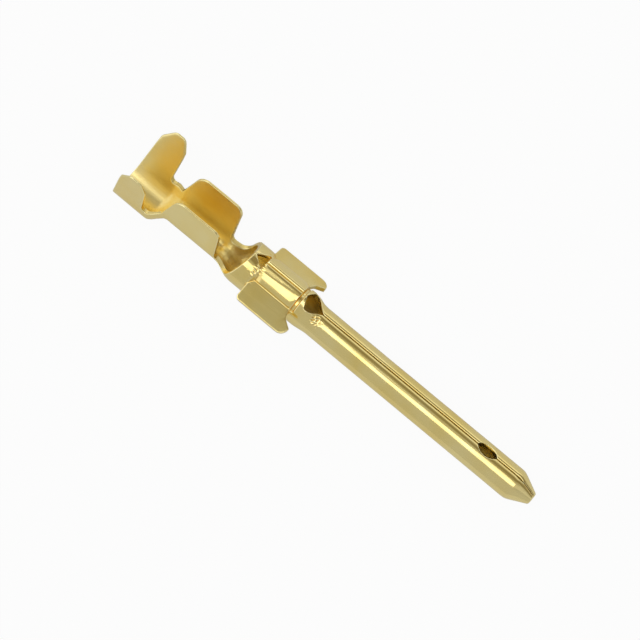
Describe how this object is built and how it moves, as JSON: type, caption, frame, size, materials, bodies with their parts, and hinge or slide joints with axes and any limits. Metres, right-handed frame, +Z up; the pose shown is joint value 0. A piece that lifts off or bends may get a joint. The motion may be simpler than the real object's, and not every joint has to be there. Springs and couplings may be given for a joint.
{
  "type": "crimp pin contact",
  "caption": "Stamped and folded crimp pin contact: a rolled pin with a seam, a hub with two retention wings, a wire barrel and an insulation barrel, lying at rest.",
  "frame": {"origin": "on the surface the contact lies on, below the centre of its bounding box", "axes": "+X along the pin towards its point, which dips 2 degrees; +Z up as it lies on its insulation barrel, one wing and the pin; its seam leans 39 degrees towards +Y"},
  "size_m": [0.0156, 0.0028, 0.0028],
  "materials": {
    "gold_plate": "pale gold plating on a stamped copper alloy strip, satin to bright, with fine rolling marks"
  },
  "bodies": {
    "root": {"pin_contact": "gold_plate"}
  },
  "joints": []
}
